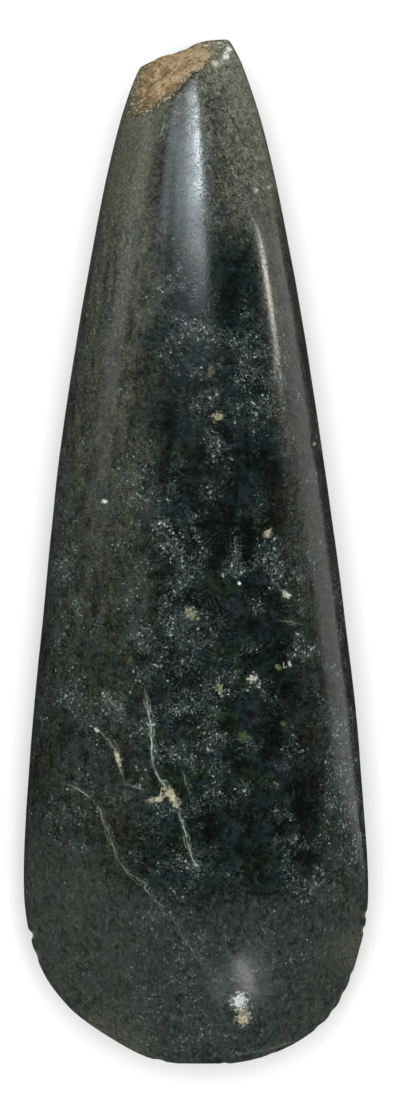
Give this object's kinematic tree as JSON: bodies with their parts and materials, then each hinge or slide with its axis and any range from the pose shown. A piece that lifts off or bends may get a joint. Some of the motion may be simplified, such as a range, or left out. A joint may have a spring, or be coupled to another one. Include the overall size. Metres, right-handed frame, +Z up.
{
  "type": "polished stone axe head",
  "caption": "Teardrop axe head of dark mottled greenstone, ground and polished, with a curved cutting edge and a broken butt.",
  "frame": {"origin": "on the surface that the head lies on, under the middle of its length and width", "axes": "+Z up from the resting flat, +Y along the length towards the narrow butt, -Y towards the cutting edge, +X across the width"},
  "size_m": [0.0604, 0.1798, 0.0331],
  "materials": {
    "polished_greenstone": "gloss"
  },
  "bodies": {
    "root": {"axe_head": "polished_greenstone"}
  },
  "joints": []
}
